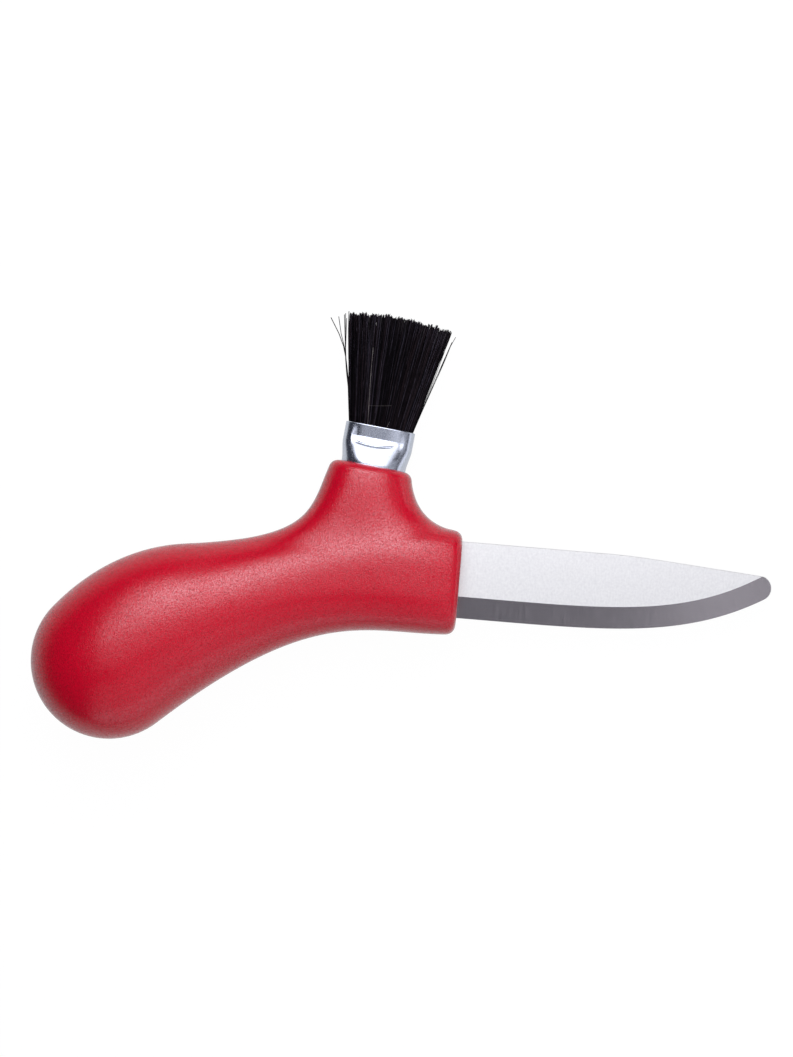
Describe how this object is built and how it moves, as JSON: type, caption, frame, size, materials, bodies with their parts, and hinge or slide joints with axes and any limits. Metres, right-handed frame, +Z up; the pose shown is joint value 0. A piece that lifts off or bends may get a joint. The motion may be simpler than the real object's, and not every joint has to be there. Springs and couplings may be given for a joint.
{
  "type": "mushroom knife",
  "caption": "Mushroom knife: short ground blade moulded into a bent, bulb-ended plastic handle with a ferruled brush set in a boss on its back.",
  "frame": {"origin": "on the table, under the middle of the knife's bounding box as it lies on its side", "axes": "+X along the blade towards its tip, +Y in the blade's plane towards the brush, +Z up from the table, across the blade's thickness. The knife lies as it comes to rest, on its bulb, the front of its handle and the bristle tips, so its own axes lean a few degrees from the frame's."},
  "size_m": [0.168, 0.1022, 0.0303],
  "materials": {
    "handle_plastic": "fine spark-grain moulded red",
    "blade_steel": "satin flats, cross-ground bevels",
    "ferrule_sheet": "bright tinned sheet, lightly satin",
    "resin": "cast amber",
    "glue": "cloudy, set",
    "bristle": "black hair-like strands"
  },
  "bodies": {
    "root": {"handle": "handle_plastic", "blade": "blade_steel", "ferrule": "ferrule_sheet", "setting_resin": "resin", "socket_glue": "glue", "bristles_1": "bristle", "bristles_2": "bristle", "bristles_3": "bristle", "bristles_4": "bristle"}
  },
  "joints": []
}
